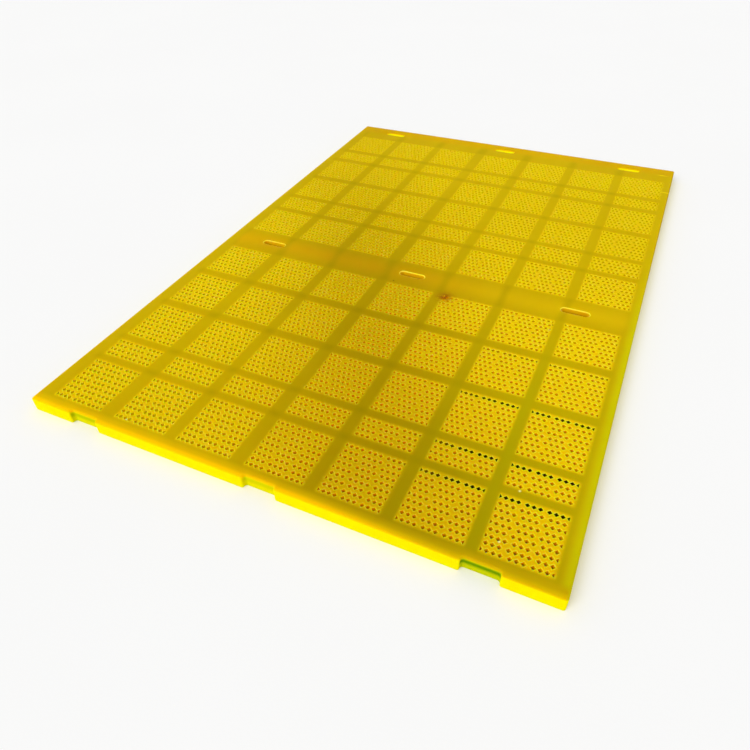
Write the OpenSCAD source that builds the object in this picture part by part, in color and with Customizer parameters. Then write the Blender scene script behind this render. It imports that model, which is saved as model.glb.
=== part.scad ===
// Polyurethane screen panel for a vibrating screen deck.
// One casting: a frame of ribs with a thin perforated membrane across the top of each field,
// three fixing slots in the middle band, three near the far edge and three open notches
// in the near edge. The origin is on the underside at the middle of the panel, +Y runs from
// the near edge to the far one, and +Z is up.

/* [Panel] */
// Size across, along X
panel_w = 1200; // [1180:5:1260]
// Size from the near edge to the far one, along Y
panel_l = 1776; // [1750:2:1850]
// Thickness of the ribs, the bands and the outer edge
panel_t = 34; // [26:1:45]
// Radius of the rounding round the top edge
edge_r = 4; // [1:0.5:6]
// Radius of the upright corners
corner_r = 6; // [1:0.5:12]

/* [Fields] */
// Thickness of the perforated membrane
membrane_t = 12; // [6:0.5:16]
// Slope of the ribs' sides, as the width that a rib loses on each side down to its foot
rib_draft = 3; // [0:0.5:5]
// Rows of openings in each field, from the near edge to the middle band
near_rows = [9, 4, 9, 9, 9];
// Rows of openings in each field, from the middle band to the far edge
far_rows = [9, 5, 9, 9, 4, 9];
// Ribs across the near half, the first being the near margin
near_cross_ribs = [31, 24, 24, 30, 30];
// Ribs across the far half, the first being the middle band
far_cross_ribs = [115, 25, 24, 28, 28, 27];
// Long ribs of the near half, the first being the left margin
near_long_ribs = [44, 43, 35, 38, 33, 32, 29];
// Long ribs of the far half, the first being the left margin
far_long_ribs = [42, 34, 34, 42, 38, 35, 35];

/* [Openings] */
// Side of a square opening, which stands on its corner
opening = 6.8; // [5:0.1:7.5]
// Spacing of the openings within a group of three or four
pitch_x = 12.1; // [11.5:0.1:12.4]
// Spacing across the plain strip between two groups
group_gap = 16.9; // [15:0.1:17.2]
// Spacing of the rows
pitch_y = 15.4; // [14.5:0.1:15.6]
// Plain strip between the outer rows and the ribs
row_margin = 1.5; // [0.5:0.5:3]
// Whether every opening is drawn, or every fifth one in every third row
all_openings = false; // [true, false]

/* [Fixings] */
// Length of a fixing slot, and of a notch
slot_l = 73; // [40:1:90]
// Width of a fixing slot, of which a notch is half
slot_w = 20; // [12:1:24]
// Spacing of the slots and notches across the panel
slot_spacing = 450; // [400:5:500]
// Distance of the far slots from the far edge
far_slot_inset = 48; // [30:1:70]
// Radius of the inner corners of a notch
notch_r = 6; // [2:1:9]
// Radius of the outer corners of a notch, where it meets the near edge
mouth_r = 4; // [1:0.5:8]
// Width of the bevel round the mouth of a slot or a notch
lip = 2; // [0.5:0.5:4]

/* [Hidden] */
$fn = 64;
// Clearance that a cutting shape runs past what it cuts
over = 1;
// Half the corner-to-corner size of an opening
half_opening = opening / sqrt(2);
// A field is as wide as its openings, so the outer half openings are cut flat at its sides
last_place = 10;
field_w = place_x(last_place);
near_edge = -panel_l / 2;
left_edge = -panel_w / 2;
near_start = near_edge;
near_fields_y = starts(near_start, near_cross_ribs, near_rows);
middle_start = last(near_fields_y) + field_l(last(near_rows));
far_fields_y = starts(middle_start, far_cross_ribs, far_rows);
middle_y = middle_start + far_cross_ribs[0] / 2;
far_slot_y = panel_l / 2 - far_slot_inset;
// Openings that are drawn in a row that begins with a half opening, and in the row between two such
even_places = all_openings ? [0 : last_place] : [1, 6];
odd_places = all_openings ? [0 : last_place - 1] : [3, 8];
first_row = all_openings ? 0 : 1;
row_step = all_openings ? 1 : 3;

function last(list) = list[len(list) - 1];
// Place of an opening along its row: each of the two plain strips shifts what lies beyond it
function place_x(i) = i * pitch_x + (group_gap - pitch_x) * ((i > 3 ? 1 : 0) + (i > 6 ? 1 : 0));
function odd_place_x(i) = (i + 0.5) * pitch_x + (group_gap - pitch_x) * ((i > 2 ? 1 : 0) + (i > 6 ? 1 : 0));
// Length of a field with this many rows
function field_l(rows) = (rows - 1) * pitch_y + 2 * (half_opening + row_margin);
function field_ls(rows) = [for (n = rows) field_l(n)];
// Near side of each field, given the rib before each and the lengths of the fields
function starts(from, ribs, rows, i = 0) =
    i == len(ribs) ? [] :
    concat([from + ribs[i]], starts(from + ribs[i] + field_l(rows[i]), ribs, rows, i + 1));
// Left side of each column of fields
function columns(ribs, from = left_edge, i = 0) =
    i == len(ribs) ? [] : concat([from + ribs[i]], columns(ribs, from + ribs[i] + field_w, i + 1));

// Profile of the plate: a rectangle with its two upper corners rounded
module plate_profile(w) {
    translate([-w / 2, 0]) square([w, panel_t - edge_r]);
    translate([-w / 2 + edge_r, 0]) square([w - 2 * edge_r, panel_t]);
    for (side = [-1, 1]) translate([side * (w / 2 - edge_r), panel_t - edge_r]) circle(edge_r);
}

// The plate before anything is cut from it
module plate() {
    intersection() {
        translate([0, panel_l / 2, 0]) rotate([90, 0, 0]) linear_extrude(panel_l) plate_profile(panel_w);
        translate([-panel_w / 2, 0, 0]) rotate([90, 0, 90]) linear_extrude(panel_w) plate_profile(panel_l);
        linear_extrude(panel_t) rounded_plan();
    }
}

module rounded_plan() {
    square([panel_w - 2 * corner_r, panel_l], center = true);
    square([panel_w, panel_l - 2 * corner_r], center = true);
    for (x = [-1, 1], y = [-1, 1])
        translate([x * (panel_w / 2 - corner_r), y * (panel_l / 2 - corner_r)]) circle(corner_r);
}

// Profile of the hollows under a row of fields, wider at the foot than under the membrane
module hollow_profile(froms, sizes) {
    top = panel_t - membrane_t;
    for (i = [0 : len(froms) - 1])
        polygon([
            [froms[i] - rib_draft, 0], [froms[i] + sizes[i] + rib_draft, 0],
            [froms[i] + sizes[i], top], [froms[i], top]
        ]);
}

// Hollows under the fields of one half, where the columns and the rows cross
module hollows(long_ribs, fields_y, rows) {
    xs = columns(long_ribs);
    span = last(fields_y) + field_l(last(rows)) - fields_y[0] + 2 * rib_draft;
    intersection() {
        translate([0, fields_y[0] - rib_draft + span, 0]) rotate([90, 0, 0])
            linear_extrude(span) hollow_profile(xs, [for (x = xs) field_w]);
        translate([-panel_w / 2, 0, 0]) rotate([90, 0, 90])
            linear_extrude(panel_w) hollow_profile(fields_y, field_ls(rows));
    }
}

// One opening, cut flat where it would pass the side of its field
module opening_outline(x, y) {
    left = x - half_opening < 0;
    right = x + half_opening > field_w;
    polygon([
        if (!left) [x - half_opening, y],
        [x, y - half_opening],
        if (!right) [x + half_opening, y],
        [x, y + half_opening]
    ]);
}

// Openings of one field, with its near left corner at the origin and its rows counted from the far side
module field_openings(rows) {
    far_row_y = field_l(rows) - row_margin - half_opening;
    for (row = [first_row : row_step : rows - 1]) {
        y = far_row_y - row * pitch_y;
        if (row % 2 == 0) for (i = even_places) opening_outline(place_x(i), y);
        else for (i = odd_places) opening_outline(odd_place_x(i), y);
    }
}

// Openings of one half
module openings(long_ribs, fields_y, rows) {
    translate([0, 0, panel_t - membrane_t - over]) linear_extrude(membrane_t + 2 * over)
        for (x = columns(long_ribs), i = [0 : len(rows) - 1])
            translate([x, fields_y[i]]) field_openings(rows[i]);
}

// Profile across a slot, with its mouth bevelled
module slot_profile(w) {
    top = w / 2 + lip + over;
    polygon([
        [-w / 2, -over], [w / 2, -over], [w / 2, panel_t - lip],
        [top, panel_t + over], [-top, panel_t + over], [-w / 2, panel_t - lip]
    ]);
}

// A slot right through the panel: round ends for a fixing slot, small round corners for a notch
module slot(r) {
    flat_x = slot_l - 2 * r;
    flat_y = slot_w - 2 * r;
    translate([-flat_x / 2, 0, 0]) rotate([90, 0, 90]) linear_extrude(flat_x) slot_profile(slot_w);
    if (flat_y > 0)
        translate([0, flat_y / 2, 0]) rotate([90, 0, 0]) linear_extrude(flat_y) slot_profile(slot_l);
    for (x = [-1, 1], y = flat_y > 0 ? [-1, 1] : [0])
        translate([x * flat_x / 2, y * flat_y / 2, -over]) {
            cylinder(h = panel_t - lip + 2 * over, r = r);
            translate([0, 0, panel_t - lip + over]) cylinder(h = lip + over, r1 = r, r2 = r + lip + over);
        }
}

// What rounds off the two outer corners of each notch
module mouth_corners() {
    translate([0, near_edge, -over]) for (i = [-1 : 1], side = [-1, 1])
        translate([i * slot_spacing + side * slot_l / 2, 0, 0]) linear_extrude(panel_t + 2 * over)
            difference() {
                translate([side > 0 ? -over : -mouth_r, -over]) square([mouth_r + over, mouth_r + over]);
                translate([side * mouth_r, mouth_r]) circle(mouth_r);
            }
}

// Slots in a line across the panel
module slots(y, r) {
    for (i = [-1 : 1]) translate([i * slot_spacing, y, 0]) slot(r);
}

module screen_panel() {
    color("gold") difference() {
        plate();
        hollows(near_long_ribs, near_fields_y, near_rows);
        hollows(far_long_ribs, far_fields_y, far_rows);
        openings(near_long_ribs, near_fields_y, near_rows);
        openings(far_long_ribs, far_fields_y, far_rows);
        slots(middle_y, slot_w / 2);
        slots(far_slot_y, slot_w / 2);
        // The notches are slots that the near edge cuts in half
        slots(near_edge, notch_r);
        mouth_corners();
    }
}

screen_panel();
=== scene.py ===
"""A cast polyurethane screen panel on a pale floor, seen from the photograph's viewing angle.

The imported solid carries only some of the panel's openings. Here the whole panel is one closed skin
with every opening in it, and stands for the solid.

Lengths are in millimetres, apart from the floor's size, the camera's clipping and what the sockets
of a shader carry, which are in metres.
"""

import math

import bmesh
import bpy
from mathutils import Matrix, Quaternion, Vector
from mathutils.geometry import delaunay_2d_cdt


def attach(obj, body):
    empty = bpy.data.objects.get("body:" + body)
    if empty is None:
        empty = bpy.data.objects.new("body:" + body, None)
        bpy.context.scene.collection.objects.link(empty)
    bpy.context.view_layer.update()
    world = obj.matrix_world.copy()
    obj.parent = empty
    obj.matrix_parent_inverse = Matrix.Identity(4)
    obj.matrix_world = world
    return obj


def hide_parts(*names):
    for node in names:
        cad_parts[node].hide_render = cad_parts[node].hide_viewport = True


MM = 0.001


def screen(red, green, blue):
    """A colour given as 0 to 255 on screen, as the linear values that a shader takes."""
    def one(value):
        value /= 255
        return value / 12.92 if value <= 0.04045 else ((value + 0.055) / 1.055) ** 2.4
    return one(red), one(green), one(blue), 1.0


# The panel in millimetres, with the values of the part's source
PANEL_W = 1200.0
PANEL_L = 1776.0
PANEL_T = 34.0
EDGE_R = 4.0
CORNER_R = 6.0
FOOT_R = 1.0
MEMBRANE_T = 12.0
RIB_DRAFT = 3.0
NEAR_ROWS = [9, 4, 9, 9, 9]
FAR_ROWS = [9, 5, 9, 9, 4, 9]
NEAR_CROSS_RIBS = [31, 24, 24, 30, 30]
FAR_CROSS_RIBS = [115, 25, 24, 28, 28, 27]
NEAR_LONG_RIBS = [44, 43, 35, 38, 33, 32, 29]
FAR_LONG_RIBS = [42, 34, 34, 42, 38, 35, 35]

# The openings: squares on their corners, in groups of three and four
HALF_OPENING = 6.8 / math.sqrt(2)
RIM = 0.75
HALF_MOUTH = HALF_OPENING + RIM * math.sqrt(2)
PITCH_X = 12.1
GROUP_GAP = 16.9
PITCH_Y = 15.4
ROW_MARGIN = 1.5
LAST_PLACE = 10

# The fixing slots and the notches
SLOT_L = 73.0
SLOT_W = 20.0
SLOT_SPACING = 450.0
FAR_SLOT_INSET = 48.0
NOTCH_R = 6.0
MOUTH_R = 4.0
LIP = 2.0

# Steps round a corner and over a rounded edge, and the angle from which an edge is shaded as sharp
CORNER_STEPS = 6
EDGE_STEPS = 4
SHARP_ANGLE = math.radians(35)

# The camera, fitted to the photograph
CAMERA_AT = Vector((547.4, -1473.9, 990.0))
CAMERA_LOOKS_AT = Vector((79.8, -511.0, PANEL_T))
CAMERA_ROLL = math.radians(1.76)
CAMERA_LENS = 29.975
CAMERA_SENSOR_W = 36.0
CAMERA_CLIP_START = 0.05
CAMERA_CLIP_END = 50.0

# Material slots of the panel's mesh
TOP, MOUTH, WALL, SLOT, BELOW = range(5)

# Light, as what a white surface that faces it shows. The lamp's angles are in degrees: round from +X,
# up from the floor, and across its disc
WORLD_LEVEL = 0.7
KEY_LEVEL = 0.47
KEY_AZIMUTH = -110.0
KEY_ELEVATION = 40.0
KEY_SOFTNESS = 40.0

# How far light spreads inside the polyurethane, the share of that for red, green and blue, and its gloss
GLOW_DEPTH = 12.0
GLOW_BY_COLOUR = (1.0, 0.5, 0.02)
GLOSS = 0.004

# How far a ramp along a coordinate runs past the outermost of the ends that it marks
PAST_ENDS = 60.0

# Colours, as they show on screen
WEB = screen(238, 195, 6)
WEB_RIGHT = screen(251, 206, 8)
WEB_FAR = screen(226, 183, 5)
# Painted glow round the openings, strongest on their near side; the first also colours the scratches
PAINTED_RIM_GLOW_AND_SCRATCH = screen(255, 234, 26)
PAINTED_RIM_GLOW_FAR = screen(255, 230, 24)
# Painted highlight on the bevels round the openings
MOUTH_PAINTED_HIGHLIGHT = screen(255, 240, 50)
MOUTH_PAINTED_HIGHLIGHT_FAR = screen(255, 234, 34)
CROSSING = screen(192, 162, 2)
LONG_RIB = screen(206, 172, 3)
CROSS_RIB = screen(206, 170, 4)
GREENISH_RIB = screen(192, 174, 4)
BAND = screen(226, 174, 6)
BAND_RIGHT = screen(222, 184, 6)
MARGIN = screen(208, 176, 6)
FAR_MARGIN = screen(214, 166, 6)
# Painted light on the near margin, strongest to the left, and a painted glow along the near edge
NEAR_MARGIN_PAINTED_LIGHT = screen(228, 186, 5)
EDGE_GLOW = screen(255, 205, 4)
EDGE_GLOW_RIGHT = screen(222, 190, 4)
RIGHT_MARGIN = screen(212, 202, 6)
RIGHT_EDGE_GREEN = screen(196, 190, 6)
# Painted shade along the far and right edges
FAR_AND_RIGHT_EDGE_PAINTED_SHADE = screen(180, 150, 6)
FRONT = screen(248, 230, 2)
NOTCH_GREEN = screen(204, 206, 6)
NOTCH_DARK = screen(100, 144, 2)
# The openings' walls in painted light and shade: painted shade near the top, painted light deeper down, and
# painted shadow in the last rows. The dark left colour is also the painted shade on the bevels.
WALL_TOP_PAINTED_SHADE = screen(240, 176, 2)
WALL_TOP_FAR_PAINTED_SHADE = screen(214, 180, 4)
WALL_DEEP_PAINTED_LIGHT = screen(248, 196, 2)
LEFT_PAINTED_SHADE = screen(176, 128, 2)
WALL_LEFT_PAINTED_LIGHT = screen(255, 228, 8)
WALL_PAINTED_SHADOW = screen(40, 24, 2)
# Painted highlight, painted light and painted shade in the fixing slots
SLOT_RIM_PAINTED_HIGHLIGHT = screen(255, 230, 70)
SLOT_PAINTED_LIGHT = screen(230, 184, 8)
SLOT_DEEP_PAINTED_SHADE = screen(204, 152, 4)
SLOT_FAR_PAINTED_LIGHT = screen(252, 244, 24)
UNDER = screen(246, 222, 8)
STAIN = screen(146, 76, 10)
FLECK_PALE = screen(255, 250, 170)
FLECK_DARK = screen(70, 50, 10)
BLACK = screen(0, 0, 0)

# The broad darker streak of painted shade: it crosses the near edge at the first value below and slants to
# the left from there
PAINTED_SHADE_X = 260.0
PAINTED_SHADE_W = 560.0
PAINTED_SHADE_SLANT = 0.5
PAINTED_SHADE_DEPTH = 0.30
PAINTED_SHADE_DEPTH_FAR = 0.10

# Middle of the smudge, and its size
STAIN_X = 120.0
STAIN_Y = -155.0
STAIN_SIZE = 38.0

# Flecks of light and dark dirt, a few millimetres across
PALE_FLECKS = [(-354, -853), (465, -825), (469, -702), (406, -187)]
DARK_FLECKS = [(-434, -726), (-431, -746), (409, -166), (-37, -135)]
SCRATCHES = [(565, 833), (588, 699)]
FLECK_SIZE = 4.0
SCRATCH_L = 28.0

# The floor, with half its side in metres
FLOOR_HALF = 8.0
FLOOR_DARK = (0.94, 0.94, 0.935, 1.0)
FLOOR_LIGHT = (0.96, 0.96, 0.955, 1.0)


# Layout


def place_x(place, between):
    """Place of an opening along its row. A row between two others starts half a pitch in."""
    strips = (place > (2 if between else 3)) + (place > 6)
    return (place + 0.5 * between) * PITCH_X + strips * (GROUP_GAP - PITCH_X)


FIELD_W = place_x(LAST_PLACE, False)


def field_l(rows):
    return (rows - 1) * PITCH_Y + 2 * (HALF_OPENING + ROW_MARGIN)


def starts(first, ribs, lengths):
    """Where each field starts, given the rib before each and the fields' lengths."""
    found, at = [], first
    for rib, length in zip(ribs, lengths):
        found.append(at + rib)
        at += rib + length
    return found


FAR_EDGE_Y = PANEL_L / 2
RIGHT_EDGE_X = PANEL_W / 2
NEAR_EDGE = -FAR_EDGE_Y
LEFT_EDGE = -RIGHT_EDGE_X
NEAR_LENGTHS = [field_l(rows) for rows in NEAR_ROWS]
FAR_LENGTHS = [field_l(rows) for rows in FAR_ROWS]
NEAR_FIELDS_X = starts(LEFT_EDGE, NEAR_LONG_RIBS, [FIELD_W] * len(NEAR_LONG_RIBS))
FAR_FIELDS_X = starts(LEFT_EDGE, FAR_LONG_RIBS, [FIELD_W] * len(FAR_LONG_RIBS))
NEAR_FIELDS_Y = starts(NEAR_EDGE, NEAR_CROSS_RIBS, NEAR_LENGTHS)
BAND_START = NEAR_FIELDS_Y[-1] + NEAR_LENGTHS[-1]
FAR_FIELDS_Y = starts(BAND_START, FAR_CROSS_RIBS, FAR_LENGTHS)
BAND_MIDDLE = BAND_START + FAR_CROSS_RIBS[0] / 2
SLOTS_X = [-SLOT_SPACING, 0.0, SLOT_SPACING]
SLOTS_Y = [BAND_MIDDLE, FAR_EDGE_Y - FAR_SLOT_INSET]

# Near and far ends of each row of fields, and of the last row of openings in each, in both halves
FIELD_ENDS = [
    [(y, y + length) for y, length in zip(starts_y, lengths)]
    for starts_y, lengths in ((NEAR_FIELDS_Y, NEAR_LENGTHS), (FAR_FIELDS_Y, FAR_LENGTHS))
]
LAST_ROW_L = ROW_MARGIN + 2 * HALF_OPENING + 2.0
LAST_ROW_ENDS = [[(end - LAST_ROW_L, end) for _, end in ends] for ends in FIELD_ENDS]


def fields():
    """(place of the near left corner, number of rows) of every field."""
    halves = ((NEAR_FIELDS_X, NEAR_FIELDS_Y, NEAR_ROWS), (FAR_FIELDS_X, FAR_FIELDS_Y, FAR_ROWS))
    return [((x, y), rows) for xs, ys, counts in halves for x in xs for y, rows in zip(ys, counts)]


# Mesh


class Skin:
    """The faces of one closed mesh, in millimetres. Points in the same place are one point."""

    def __init__(self):
        self.places = {}
        self.faces = []
        self.slots = []

    def face(self, corners, slot):
        places = [tuple(round(value, 3) for value in corner) for corner in corners]
        ids = [self.places.setdefault(place, len(self.places)) for place in places]
        ids = [i for n, i in enumerate(ids) if i != ids[n - 1]]
        if len(ids) > 2:
            self.faces.append(ids)
            self.slots.append(slot)

    def tube(self, loops, slot):
        """Four-sided faces between each loop and the next, which has the same number of points."""
        for low, high in zip(loops, loops[1:]):
            for n in range(len(low)):
                self.face([low[n - 1], low[n], high[n], high[n - 1]], slot)

    def fill(self, triangles, points, z, slot, shift=(0.0, 0.0)):
        """Flat faces at height z over points, given as triangles of their numbers."""
        for triangle in triangles:
            self.face(raised([points[i] for i in triangle], z, shift), slot)

    def mesh(self, name):
        made = bpy.data.meshes.new(name)
        made.from_pydata([[v * MM for v in place] for place in self.places], [], self.faces)
        made.polygons.foreach_set("material_index", self.slots)
        solid = bmesh.new()
        solid.from_mesh(made)
        open_edges = sum(len(edge.link_faces) != 2 for edge in solid.edges)
        if open_edges:
            raise ValueError(f"{open_edges} edges of {name} don't have two faces")
        bmesh.ops.recalc_face_normals(solid, faces=solid.faces)
        bmesh.ops.triangulate(solid, faces=solid.faces)
        print(f"{name}: {len(solid.faces)} triangles")
        solid.to_mesh(made)
        solid.free()
        made.shade_smooth()
        made.set_sharp_from_angle(angle=SHARP_ANGLE)
        return made


def moved(loop, shift):
    return [(x + shift[0], y + shift[1]) for x, y in loop]


def raised(loop, z, shift=(0.0, 0.0)):
    return [(x, y, z) for x, y in moved(loop, shift)]


def filled(outline, holes):
    """Triangles over the points of outline and holes in turn, which cover outline but not its holes."""
    rings, start = [], 0
    for loop in (outline, *holes):
        rings.append(list(range(start, start + len(loop))))
        start += len(loop)
    points = [Vector(point) for loop in (outline, *holes) for point in loop]
    _, _, triangles, point_ids, _, ring_ids = delaunay_2d_cdt(points, [], rings, 1, 1e-4)
    wanted = [triangle for triangle, found in zip(triangles, ring_ids) if found == [0]]
    return [[point_ids[i][0] for i in triangle] for triangle in wanted]


def rounded(corners, inset):
    """The outline through square corners (x, y, radius), anticlockwise, moved in by inset and rounded."""
    outline = []
    for n, (x, y, radius) in enumerate(corners):
        before, after = corners[n - 1], corners[(n + 1) % len(corners)]
        arriving = Vector((x - before[0], y - before[1])).normalized()
        leaving = Vector((after[0] - x, after[1] - y)).normalized()
        turn = 1 if arriving.cross(leaving) > 0 else -1
        from_side, to_side = Vector((-arriving.y, arriving.x)), Vector((-leaving.y, leaving.x))
        bend = radius - turn * inset
        centre = Vector((x, y)) + (inset + turn * bend) * (from_side + to_side)
        for step in range(CORNER_STEPS + 1):
            angle = math.pi / 2 * step / CORNER_STEPS
            outward = math.cos(angle) * from_side + math.sin(angle) * to_side
            outline.append(tuple(centre - turn * bend * outward))
    return outline


def quarter(radius):
    """(inset, depth below the top) of each step of a rounded edge, from its side to its top."""
    angles = [math.pi / 2 * step / EDGE_STEPS for step in range(EDGE_STEPS + 1)]
    return [(radius * (1 - math.cos(a)), radius * (1 - math.sin(a))) for a in angles]


def rectangle(x, y, width, length, radius):
    right, far = x + width, y + length
    return [(x, y, radius), (right, y, radius), (right, far, radius), (x, far, radius)]


def panel_corners():
    """The panel's outline from its near left corner, with the three notches in its near edge."""
    inner = NEAR_EDGE + SLOT_W / 2
    corners = [(LEFT_EDGE, NEAR_EDGE, CORNER_R)]
    for middle in SLOTS_X:
        left, right = middle - SLOT_L / 2, middle + SLOT_L / 2
        corners += [(left, NEAR_EDGE, MOUTH_R), (left, inner, NOTCH_R)]
        corners += [(right, inner, NOTCH_R), (right, NEAR_EDGE, MOUTH_R)]
    corners += [(x, y, CORNER_R) for x, y in ((RIGHT_EDGE_X, NEAR_EDGE), (RIGHT_EDGE_X, FAR_EDGE_Y))]
    return corners + [(LEFT_EDGE, FAR_EDGE_Y, CORNER_R)]


def slot_corners():
    """The fixing slots' outlines."""
    return [
        rectangle(x - SLOT_L / 2, y - SLOT_W / 2, SLOT_L, SLOT_W, SLOT_W / 2)
        for x in SLOTS_X
        for y in SLOTS_Y
    ]


def diamond(x, y, half):
    return [(x, y - half), (x + half, y), (x, y + half), (x - half, y)]


def opening_rows(rows):
    """(y, whether it lies between two rows that have half openings) of each row, from the far side."""
    last_y = field_l(rows) - ROW_MARGIN - HALF_OPENING
    return [(last_y - row * PITCH_Y, row % 2 == 1) for row in range(rows)]


def half_openings(rows, half):
    """The half openings up the right side of a field and those down its left side, three points each."""
    ys = [y for y, between in opening_rows(rows) if not between]
    right = [[(FIELD_W, y - half), (FIELD_W - half, y), (FIELD_W, y + half)] for y in reversed(ys)]
    left = [[(0.0, y + half), (half, y), (0.0, y - half)] for y in ys]
    return right, left


def whole_openings(rows, half):
    """The whole openings of a field: nine in a row that has half openings, and ten in a row without."""
    return [
        diamond(place_x(place, between), y, half)
        for y, between in opening_rows(rows)
        for place in range(0 if between else 1, LAST_PLACE)
    ]


def all_openings(rows, half):
    return whole_openings(rows, half) + [cut for side in half_openings(rows, half) for cut in side]


def field_sides(rows, half, tips):
    """The near, right, far and left sides of a field, round the half openings or straight past them."""
    length = field_l(rows)
    right, left = [
        [point for cut in cuts for point in (cut if tips else (cut[0], cut[2]))]
        for cuts in half_openings(rows, half)
    ]
    return [
        [(0.0, 0.0), (FIELD_W, 0.0)],
        [(FIELD_W, 0.0), *right, (FIELD_W, length)],
        [(FIELD_W, length), (0.0, length)],
        [(0.0, length), *left, (0.0, 0.0)],
    ]


def field_outline(rows, half, tips):
    return [point for side in field_sides(rows, half, tips) for point in side[:-1]]


def foot_corners(rows):
    """Where the hollow under a field ends, on the panel's underside."""
    low, right, far = -RIB_DRAFT, FIELD_W + RIB_DRAFT, field_l(rows) + RIB_DRAFT
    return [(low, low), (right, low), (right, far), (low, far)]


def add_fields(skin):
    """The membranes with every opening, and the hollows under them."""
    below = PANEL_T - MEMBRANE_T
    webs = {
        rows: filled(field_outline(rows, HALF_MOUTH, True), whole_openings(rows, HALF_MOUTH))
        for rows in set(NEAR_ROWS + FAR_ROWS)
    }
    for at, rows in fields():
        for z, half, slot in ((PANEL_T, HALF_MOUTH, TOP), (below, HALF_OPENING, BELOW)):
            points = field_outline(rows, half, True)
            points += [point for hole in whole_openings(rows, half) for point in hole]
            skin.fill(webs[rows], points, z, slot, at)
        for mouth, hole in zip(all_openings(rows, HALF_MOUTH), all_openings(rows, HALF_OPENING)):
            skin.tube([raised(mouth, PANEL_T, at), raised(hole, PANEL_T - RIM, at)], MOUTH)
            skin.tube([raised(hole, PANEL_T - RIM, at), raised(hole, below, at)], WALL)
        foot = foot_corners(rows)
        for n, side in enumerate(field_sides(rows, HALF_OPENING, False)):
            along_foot = [foot[(n + 1) % 4], foot[n]]
            skin.face(raised(side, below, at) + raised(along_foot, 0.0, at), BELOW)


def panel_mesh():
    """The whole panel: the fields, the outer edge, the slots, and the frame above and below."""
    skin = Skin()
    add_fields(skin)
    outline = panel_corners()
    levels = [(FOOT_R, PANEL_T), (0.0, PANEL_T - FOOT_R), *quarter(EDGE_R)]
    skin.tube([raised(rounded(outline, inset), PANEL_T - depth) for inset, depth in levels], TOP)
    slots = slot_corners()
    levels = [(0.0, PANEL_T), *quarter(LIP)]
    for corners in slots:
        skin.tube([raised(rounded(corners, -grown), PANEL_T - depth) for grown, depth in levels], SLOT)
    top = [rounded(corners, -LIP) for corners in slots]
    top += [moved(field_outline(rows, HALF_MOUTH, False), at) for at, rows in fields()]
    under = [rounded(corners, 0.0) for corners in slots]
    under += [moved(foot_corners(rows), at) for at, rows in fields()]
    for inset, holes, z, slot in ((EDGE_R, top, PANEL_T, TOP), (FOOT_R, under, 0.0, BELOW)):
        rim = rounded(outline, inset)
        points = rim + [point for hole in holes for point in hole]
        skin.fill(filled(rim, holes), points, z, slot)
    return skin.mesh("screen_panel_skin")


# Materials


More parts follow.
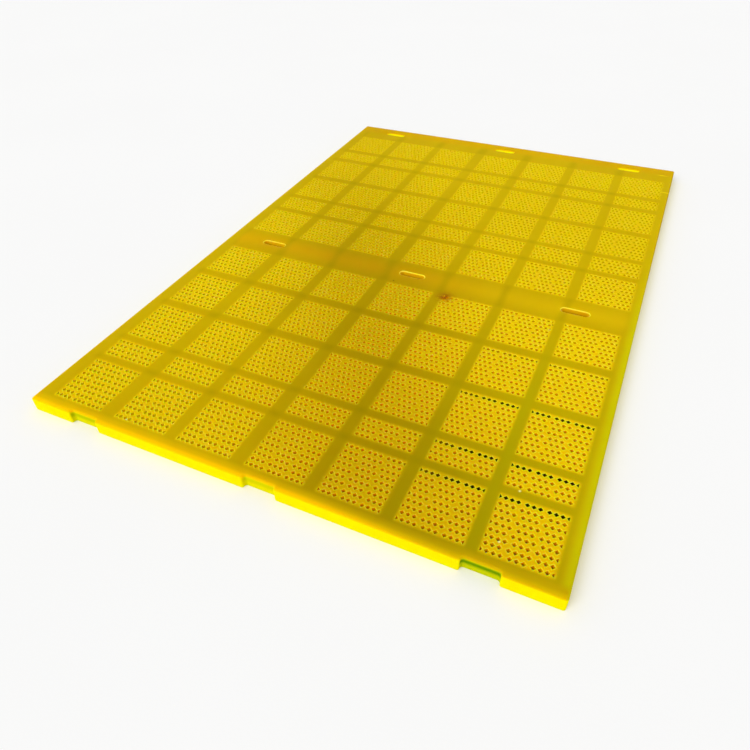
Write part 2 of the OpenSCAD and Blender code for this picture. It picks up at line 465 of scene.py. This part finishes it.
class Shader:
    """A material built up node by node. Each step returns the socket that it makes."""

    def __init__(self, name):
        self.material = bpy.data.materials.new(name)
        self.material.use_nodes = True
        self.tree = self.material.node_tree
        self.tree.nodes.clear()
        self.place = self.node("ShaderNodeTexCoord").outputs["Object"]
        self.x, self.y, self.z = self.node("ShaderNodeSeparateXYZ", {0: self.place}).outputs

    def node(self, kind, inputs=None, **settings):
        """A new node. Each of inputs, by name or number, is a value or the socket that feeds it."""
        made = self.tree.nodes.new(kind)
        for name, value in settings.items():
            setattr(made, name, value)
        for key, value in (inputs or {}).items():
            if isinstance(value, bpy.types.NodeSocket):
                self.tree.links.new(value, made.inputs[key])
            else:
                made.inputs[key].default_value = value
        return made

    def math(self, operation, *values):
        return self.node("ShaderNodeMath", dict(enumerate(values)), operation=operation).outputs[0]

    def product(self, *values):
        result = values[0]
        for value in values[1:]:
            result = self.math("MULTIPLY", result, value)
        return result

    def scaled(self, value, low, high, to_low=0.0, to_high=1.0, smooth=True):
        """value between low and high in millimetres, as a share between to_low and to_high."""
        kind = "SMOOTHSTEP" if smooth else "LINEAR"
        inputs = {"Value": value, 1: low * MM, 2: high * MM, 3: to_low, 4: to_high}
        return self.node("ShaderNodeMapRange", inputs, interpolation_type=kind).outputs[0]

    def mix(self, share, first, second):
        inputs = {0: share, 6: first, 7: second}
        return self.node("ShaderNodeMix", inputs, data_type="RGBA").outputs[2]

    def darkened(self, share, colour):
        return self.mix(share, colour, BLACK)

    def noise(self, size, detail=2.0):
        """Noise between 0 and 1 whose features are about size millimetres across."""
        inputs = {"Vector": self.place, "Scale": 1 / (size * MM), "Detail": detail}
        return self.node("ShaderNodeTexNoise", inputs).outputs["Fac"]

    def spans(self, value, ends, inner, outer):
        """1 where value is between two ends, fading from inner millimetres inside them to outer past."""
        low, high = ends[0][0] - PAST_ENDS, ends[-1][1] + PAST_ENDS
        ramp = self.node("ShaderNodeValToRGB", {0: self.scaled(value, low, high, smooth=False)})
        elements = ramp.color_ramp.elements
        elements.remove(elements[1])
        elements[0].position = 0.0
        elements[0].color = BLACK
        for start, end in ends:
            for at, level in ((start - outer, 0), (start + inner, 1), (end - inner, 1), (end + outer, 0)):
                elements.new((at - low) / (high - low)).color = (level, level, level, 1)
        return ramp.outputs[0]

    def stepped(self, value, first, steps):
        """first, in millimetres, changed by each (where value passes it, change)."""
        result = first * MM
        for at, change in steps:
            passed = self.math("GREATER_THAN", value, at * MM)
            result = self.math("MULTIPLY_ADD", passed, change * MM, result)
        return result

    def columns(self, inner, outer):
        """1 in the columns of fields. The two halves' columns blend over the middle band."""
        near, far = [
            self.spans(self.x, [(x, x + FIELD_W) for x in starts_x], inner, outer)
            for starts_x in (NEAR_FIELDS_X, FAR_FIELDS_X)
        ]
        return self.mix(self.scaled(self.y, BAND_START, FAR_FIELDS_Y[0]), near, far)

    def rows(self, near_ends, far_ends, inner, outer):
        """1 between the near half's ends in the near half, and between the far half's in the far one."""
        near, far = [self.spans(self.y, ends, inner, outer) for ends in (near_ends, far_ends)]
        return self.mix(self.math("GREATER_THAN", self.y, BAND_MIDDLE * MM), near, far)

    def from_edge(self):
        """Distance from the nearest outer edge, in metres."""
        across = self.math("SUBTRACT", RIGHT_EDGE_X * MM, self.math("ABSOLUTE", self.x))
        along = self.math("SUBTRACT", FAR_EDGE_Y * MM, self.math("ABSOLUTE", self.y))
        return self.math("MINIMUM", across, along)

    def from_near(self):
        """Distance from the near edge, in metres."""
        return self.math("ADD", self.y, FAR_EDGE_Y * MM)

    def hump(self, value, middle, width):
        """A smooth hump of height 1 where value is middle, about width millimetres across."""
        off = self.math("DIVIDE", self.math("SUBTRACT", value, middle * MM), width / 2 * MM)
        return self.math("POWER", math.e, self.product(off, off, -1.0))

    def spot(self, x, y, width, length):
        """A smooth spot of height 1 round a place."""
        return self.product(self.hump(self.x, x, width), self.hump(self.y, y, length))

    def surface(self, colour, roughness, height=None, depth=0.1, glow=GLOW_DEPTH):
        """The finished surface. height makes a bump of depth, and light spreads glow deep inside."""
        inputs = {
            "Base Color": colour,
            "Roughness": roughness,
            "Specular IOR Level": GLOSS,
            "Subsurface Weight": 1.0 if glow else 0.0,
            "Subsurface Radius": GLOW_BY_COLOUR,
            "Subsurface Scale": glow * MM,
        }
        if height is not None:
            bump = self.node("ShaderNodeBump", {"Height": height, "Distance": depth * MM})
            inputs["Normal"] = bump.outputs[0]
        shader = self.node("ShaderNodeBsdfPrincipled", inputs)
        output = self.node("ShaderNodeOutputMaterial")
        self.tree.links.new(shader.outputs[0], output.inputs["Surface"])
        return self.material


def between_fields(starts_at, lengths):
    """(middle of the rib, distance between the two starts) for each rib between two fields in line."""
    ends = [start + length for start, length in zip(starts_at, lengths)]
    pairs = zip(starts_at, ends, starts_at[1:])
    return [((end + after) / 2, after - before) for before, end, after in pairs]


def from_field(s):
    """How far right of its field's left side a place is, and how far nearer than its field's last row."""
    near_left, far_left = [
        s.stepped(s.x, starts_x[0], between_fields(starts_x, [FIELD_W] * len(starts_x)))
        for starts_x in (NEAR_FIELDS_X, FAR_FIELDS_X)
    ]
    in_far_half = s.math("GREATER_THAN", s.y, BAND_MIDDLE * MM)
    left = s.math("MULTIPLY_ADD", in_far_half, s.math("SUBTRACT", far_left, near_left), near_left)
    starts_y, lengths = NEAR_FIELDS_Y + FAR_FIELDS_Y, NEAR_LENGTHS + FAR_LENGTHS
    ends = [start + length for start, length in zip(starts_y, lengths)]
    ribs = [middle for middle, _ in between_fields(starts_y, lengths)]
    end = s.stepped(s.y, ends[0], [(rib, b - a) for rib, a, b in zip(ribs, ends, ends[1:])])
    last_row = s.math("SUBTRACT", end, (ROW_MARGIN + HALF_OPENING) * MM)
    return s.math("SUBTRACT", s.x, left), s.math("SUBTRACT", last_row, s.y)


def from_opening(s):
    """From the nearest opening's middle: the distance along X plus along Y, and how far right and near."""
    along, down = from_field(s)
    rows = s.math("DIVIDE", down, PITCH_Y * MM)
    row = s.math("MAXIMUM", s.math("ROUND", rows), 0.0)
    nearer = s.product(s.math("SUBTRACT", rows, row), PITCH_Y * MM)
    # A row between two others starts half a pitch in, and its first group is one opening shorter
    between = s.math("PINGPONG", row, 1.0)
    along = s.math("SUBTRACT", along, s.product(between, PITCH_X / 2 * MM))
    first_strip, second_strip = [(place_x(n, False) + place_x(n + 1, False)) / 2 * MM for n in (3, 6)]
    first_strip = s.math("MULTIPLY_ADD", between, -PITCH_X * MM, first_strip)
    past_first = s.math("GREATER_THAN", along, first_strip)
    past_second = s.math("GREATER_THAN", along, second_strip)
    strips = s.math("ADD", past_first, past_second)
    along = s.math("MULTIPLY_ADD", strips, (PITCH_X - GROUP_GAP) * MM, along)
    # The groups' first openings are 0, 4 and 7, or 0, 3 and 7; their last ones 3, 6 and 10, or 2, 6 and 9
    three_or_four = s.math("ADD", 3.0, between)
    four_or_three = s.math("SUBTRACT", 4.0, between)
    three_or_two = s.math("SUBTRACT", 3.0, between)
    lowest = s.math("ADD", s.product(past_first, four_or_three), s.product(past_second, three_or_four))
    highest = s.math("ADD", s.product(past_first, three_or_four), s.product(past_second, four_or_three))
    highest = s.math("ADD", highest, three_or_two)
    place = s.math("ROUND", s.math("DIVIDE", along, PITCH_X * MM))
    place = s.math("MINIMUM", s.math("MAXIMUM", place, lowest), highest)
    off = s.math("SUBTRACT", along, s.product(place, PITCH_X * MM))
    away = s.math("ADD", s.math("ABSOLUTE", off), s.math("ABSOLUTE", nearer))
    return away, off, nearer


def to_far(s):
    """0 in the nearest fields, rising to 1 in the far ones."""
    return s.scaled(s.y, -300, 350)


def to_left(s):
    """0 in the right fields, rising to 1 in the left ones."""
    return s.scaled(s.x, 150, -350)


def web_colour(s):
    """The membranes' top, with a painted glow round the openings that is strongest on their near side."""
    web = s.mix(s.scaled(s.x, -50, 300), WEB, WEB_RIGHT)
    web = s.mix(to_far(s), web, WEB_FAR)
    web = s.darkened(s.product(s.noise(30.0), 0.1), web)
    away, _, nearer = from_opening(s)
    # Painted glow round each opening, strongest on its near side
    round_it = s.scaled(away, HALF_MOUTH + 4.0, HALF_MOUTH + 0.5)
    light = s.product(round_it, s.scaled(nearer, -4.0, 3.0, 0.25, 1.0))
    return s.mix(light, web, s.mix(to_far(s), PAINTED_RIM_GLOW_AND_SCRATCH, PAINTED_RIM_GLOW_FAR))


def with_ribs(s, web):
    """Olive ribs round the webs of the fields, darkest where two ribs cross, and greener near the right."""
    in_margin = s.scaled(s.from_edge(), 45, 15)
    in_column = s.math("MAXIMUM", s.columns(3.0, 13.0), s.product(in_margin, 0.7))
    in_row = s.rows(*FIELD_ENDS, 3.0, 11.0)
    long_rib = s.mix(in_row, CROSSING, LONG_RIB)
    rib = s.mix(in_column, long_rib, CROSS_RIB)
    near_right = s.product(s.scaled(s.x, 100, 450), s.scaled(s.y, 0, -550))
    greenish = s.product(near_right, s.math("MULTIPLY_ADD", in_column, -0.4, 1.0))
    rib = s.mix(greenish, rib, GREENISH_RIB)
    in_field = s.product(s.columns(0.0, 4.0), s.rows(*FIELD_ENDS, 0.0, 4.0))
    return s.mix(in_field, rib, web)


def with_bands(s, colour):
    """The lighter middle band and margins, painted light on the near margin towards the left, and a painted
    glow along the near edge.
    """
    in_column = s.math("MULTIPLY_ADD", s.columns(0.0, 20.0), 0.7, 0.3)
    in_band = s.product(s.hump(s.y, BAND_MIDDLE, 72.0), in_column)
    colour = s.mix(in_band, colour, s.mix(s.scaled(s.x, -50, 350), BAND, BAND_RIGHT))
    colour = s.mix(s.scaled(s.from_edge(), 36, 8), colour, MARGIN)
    colour = s.mix(s.scaled(s.y, FAR_EDGE_Y - 75, FAR_EDGE_Y - 30), colour, FAR_MARGIN)
    greenish = s.product(s.scaled(s.x, RIGHT_EDGE_X - 24, RIGHT_EDGE_X - 6), s.scaled(s.y, 350, -350))
    colour = s.mix(greenish, colour, RIGHT_MARGIN)
    to_right = s.scaled(s.x, 0, 420)
    # Painted light on the near margin, strongest to the left
    margin = s.mix(to_right, NEAR_MARGIN_PAINTED_LIGHT, MARGIN)
    colour = s.mix(s.scaled(s.from_near(), 32, 14), colour, margin)
    # Painted glow along the near edge
    glow = s.mix(to_right, EDGE_GLOW, EDGE_GLOW_RIGHT)
    return s.mix(s.scaled(s.from_near(), 16, 5), colour, glow)


def with_sides(s, colour):
    """Bright outer sides below the rounding of the top edge, and painted shade that darkens the far and
    right edges.
    """
    on_near_side = s.scaled(s.y, NEAR_EDGE + 6, NEAR_EDGE + 3)
    lower = s.product(on_near_side, s.scaled(s.z, PANEL_T - 0.3, PANEL_T - 4.0))
    lower = s.math("MAXIMUM", lower, s.scaled(s.z, PANEL_T - 3.5, PANEL_T - 9.0))
    greenish = s.product(s.scaled(s.x, RIGHT_EDGE_X - 6, RIGHT_EDGE_X - 1), s.scaled(s.y, 500, -200))
    colour = s.mix(greenish, colour, RIGHT_EDGE_GREEN)
    # Painted shade along the far edge and the right edge
    far_side = s.scaled(s.y, FAR_EDGE_Y - 6, FAR_EDGE_Y - 2)
    right_side = s.product(s.scaled(s.x, RIGHT_EDGE_X - 4, RIGHT_EDGE_X - 1), s.scaled(s.y, -200, 500))
    colour = s.mix(s.math("MAXIMUM", far_side, right_side), colour, FAR_AND_RIGHT_EDGE_PAINTED_SHADE)
    return with_notches(s, s.mix(lower, colour, FRONT), lower)


def with_notches(s, colour, lower):
    """Green notches with a dark stripe, most so near the right. lower is 1 on the outer sides."""
    notch_ends = [(x - SLOT_L / 2, x + SLOT_L / 2) for x in SLOTS_X]
    inward = s.scaled(s.y, NEAR_EDGE + 0.5, NEAR_EDGE + 5.0)
    strength = s.math("ADD", s.scaled(s.x, 100, 400, 0.35, 1.0), s.scaled(s.x, -300, -400, 0.0, 0.2))
    in_notch = s.product(s.spans(s.x, notch_ends, 0.0, 2.0), inward, lower, strength)
    in_notch = s.product(in_notch, s.math("LESS_THAN", s.y, (NEAR_EDGE + SLOT_W / 2 + 2) * MM))
    green = s.mix(s.hump(s.z, 21.0, 13.0), NOTCH_GREEN, NOTCH_DARK)
    return s.mix(in_notch, colour, green)


def shaded(s, colour):
    """A broad darker streak of painted shade across the panel, which fades towards the far edge, and slight
    mottling.
    """
    from_near = s.from_near()
    across = s.math("MULTIPLY_ADD", from_near, PAINTED_SHADE_SLANT, s.x)
    depth = s.scaled(from_near, 700, 1500, PAINTED_SHADE_DEPTH, PAINTED_SHADE_DEPTH_FAR)
    # Painted shade: the broad streak
    streak = s.product(s.hump(across, PAINTED_SHADE_X, PAINTED_SHADE_W), depth, s.scaled(from_near, 0, 30))
    mottle = s.product(s.noise(110.0, 3.0), 0.12)
    return s.darkened(s.math("ADD", streak, mottle), colour)


def with_stain(s, colour):
    """A curled brown smudge beside one field."""
    # The noise is turned into millimetres, because scaled takes its ends in them
    ragged = s.scaled(s.product(s.noise(11.0), MM), 0.33, 0.46)
    return s.mix(s.product(s.spot(STAIN_X, STAIN_Y, STAIN_SIZE, STAIN_SIZE), ragged), colour, STAIN)


def with_flecks(s, colour):
    """A few specks of dirt, and two light scratches near the far right corner."""
    marks = (
        (PALE_FLECKS, FLECK_SIZE, FLECK_PALE),
        (DARK_FLECKS, FLECK_SIZE, FLECK_DARK),
        # The scratches share the pale colour of the painted glow round the openings
        (SCRATCHES, SCRATCH_L, PAINTED_RIM_GLOW_AND_SCRATCH),
    )
    for places, width, mark in marks:
        for x, y in places:
            colour = s.mix(s.spot(x, y, width, FLECK_SIZE), colour, mark)
    return colour


def top_material():
    """The top and the outer sides."""
    s = Shader("polyurethane_top")
    colour = shaded(s, with_sides(s, with_bands(s, with_ribs(s, web_colour(s)))))
    colour = with_flecks(s, with_stain(s, colour))
    fine = s.noise(2.5)
    return s.surface(colour, s.math("MULTIPLY_ADD", fine, 0.15, 0.4), fine, 0.05)


def mouth_material():
    """The bevel round each opening in a painted highlight, with painted shade on its far left side in the
    near left fields.
    """
    s = Shader("polyurethane_mouth")
    # Painted highlight on the bevels
    colour = s.mix(to_far(s), MOUTH_PAINTED_HIGHLIGHT, MOUTH_PAINTED_HIGHLIGHT_FAR)
    colour = s.darkened(s.product(s.noise(2.5), 0.1), colour)
    _, off, nearer = from_opening(s)
    # Painted shade on the far left side of each bevel in the near left fields
    far_left = s.product(s.scaled(off, 1.0, -0.5), s.scaled(nearer, 0.5, -0.5))
    strength = s.product(to_left(s), s.scaled(s.y, 0, -400), 0.6)
    colour = s.mix(s.product(far_left, strength), colour, LEFT_PAINTED_SHADE)
    return s.surface(with_stain(s, shaded(s, colour)), 0.4)


def wall_material():
    """The walls of the openings in painted light and shade: painted shade at the top, painted light deeper
    down, and painted shadow in the last rows of the near right fields.
    """
    s = Shader("polyurethane_wall")
    # Painted shade near the top of each wall and painted light deeper down, with a darker painted band at
    # the top of the left walls
    top = s.mix(s.scaled(s.y, -600, 500), WALL_TOP_PAINTED_SHADE, WALL_TOP_FAR_PAINTED_SHADE)
    colour = s.mix(s.scaled(s.z, PANEL_T - 2.0, PANEL_T - 8.0), top, WALL_DEEP_PAINTED_LIGHT)
    left = s.mix(s.scaled(s.z, PANEL_T - 1.6, PANEL_T - 2.8), LEFT_PAINTED_SHADE, WALL_LEFT_PAINTED_LIGHT)
    colour = s.mix(to_left(s), colour, left)
    # Painted shadow in the last rows of the near right fields
    in_last_row = s.rows(*LAST_ROW_ENDS, 0.0, 1.0)
    near_right = s.product(s.scaled(s.x, 180, 380), s.scaled(s.y, -200, -550))
    colour = s.mix(s.product(in_last_row, near_right, 0.92), colour, WALL_PAINTED_SHADOW)
    return s.surface(colour, 0.5)


def slot_material():
    """The fixing slots in painted light and shade: a painted highlight on the rim, painted shade darker and
    darker below it, and painted light in the slots near the far edge.
    """
    s = Shader("polyurethane_slot")
    # Painted highlight on the rim, painted light below it, then painted shade deeper down; painted light in
    # the slots near the far edge
    below_rim = s.scaled(s.z, PANEL_T - 1, PANEL_T - 4)
    colour = s.mix(below_rim, SLOT_RIM_PAINTED_HIGHLIGHT, SLOT_PAINTED_LIGHT)
    colour = s.mix(s.scaled(s.z, PANEL_T - 8, PANEL_T - 16), colour, SLOT_DEEP_PAINTED_SHADE)
    far = s.mix(below_rim, BAND, SLOT_FAR_PAINTED_LIGHT)
    return s.surface(s.mix(s.scaled(s.y, 300, 600), colour, far), 0.45)


def under_material():
    """The underside and the hollows."""
    s = Shader("polyurethane_underside")
    fine = s.noise(3.0)
    colour = s.mix(s.noise(60.0), FRONT, UNDER)
    return s.surface(colour, s.math("MULTIPLY_ADD", fine, 0.12, 0.45), fine, 0.05)


def floor_material():
    s = Shader("pale_floor")
    fine = s.noise(6.0, 3.0)
    colour = s.mix(s.noise(700.0), FLOOR_DARK, FLOOR_LIGHT)
    return s.surface(colour, 0.7, fine, 0.1, glow=0.0)


# Scene


def add_object(name, data):
    made = bpy.data.objects.new(name, data)
    bpy.context.scene.collection.objects.link(made)
    return made


def add_panel():
    mesh = panel_mesh()
    # In the order of the mesh's material slots
    for make in (top_material, mouth_material, wall_material, slot_material, under_material):
        mesh.materials.append(make())
    panel = add_object("screen_panel_skin", mesh)
    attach(panel, "root")
    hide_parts("screen_panel")


def add_floor():
    mesh = bpy.data.meshes.new("floor")
    corners = [(x * FLOOR_HALF, y * FLOOR_HALF, 0.0) for x, y in ((-1, -1), (1, -1), (1, 1), (-1, 1))]
    mesh.from_pydata(corners, [], [(0, 1, 2, 3)])
    mesh.materials.append(floor_material())
    floor = add_object("floor", mesh)


def add_key_lamp():
    """One wide soft lamp from the near left."""
    lamp = bpy.data.lights.new("key", "SUN")
    lamp.energy = KEY_LEVEL * math.pi
    lamp.angle = math.radians(KEY_SOFTNESS)
    key = add_object("key", lamp)
    key.rotation_euler = (0.0, math.radians(90 - KEY_ELEVATION), math.radians(KEY_AZIMUTH))


def add_surround():
    """An even pale surround, which shows as white."""
    world = bpy.data.worlds.new("studio")
    world.use_nodes = True
    tree = world.node_tree
    background = tree.nodes["Background"]
    path = tree.nodes.new("ShaderNodeLightPath")
    seen = tree.nodes.new("ShaderNodeMath")
    seen.operation = "MAXIMUM"
    tree.links.new(path.outputs["Is Camera Ray"], seen.inputs[0])
    tree.links.new(path.outputs["Is Glossy Ray"], seen.inputs[1])
    strength = tree.nodes.new("ShaderNodeMapRange")
    strength.inputs["To Min"].default_value = WORLD_LEVEL
    tree.links.new(seen.outputs[0], strength.inputs["Value"])
    tree.links.new(strength.outputs[0], background.inputs["Strength"])
    background.inputs["Color"].default_value = (1.0, 1.0, 1.0, 1.0)
    bpy.context.scene.world = world


def add_camera():
    lens = bpy.data.cameras.new("camera")
    lens.sensor_width = CAMERA_SENSOR_W
    lens.lens = CAMERA_LENS
    lens.clip_start = CAMERA_CLIP_START
    lens.clip_end = CAMERA_CLIP_END
    camera = add_object("camera", lens)
    axis = (CAMERA_LOOKS_AT - CAMERA_AT).normalized()
    camera.rotation_mode = "QUATERNION"
    camera.rotation_quaternion = Quaternion(axis, CAMERA_ROLL) @ axis.to_track_quat("-Z", "Y")
    camera.location = CAMERA_AT * MM
    bpy.context.scene.camera = camera


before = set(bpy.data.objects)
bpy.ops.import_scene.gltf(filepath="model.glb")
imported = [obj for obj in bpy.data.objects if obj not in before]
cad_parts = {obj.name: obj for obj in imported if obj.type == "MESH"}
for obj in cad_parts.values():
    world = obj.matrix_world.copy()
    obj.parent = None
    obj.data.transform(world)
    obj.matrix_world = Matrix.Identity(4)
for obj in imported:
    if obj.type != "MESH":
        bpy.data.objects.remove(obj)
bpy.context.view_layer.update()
add_camera()
add_panel()
add_floor()
add_surround()
add_key_lamp()
bpy.context.scene.view_settings.view_transform = "Standard"
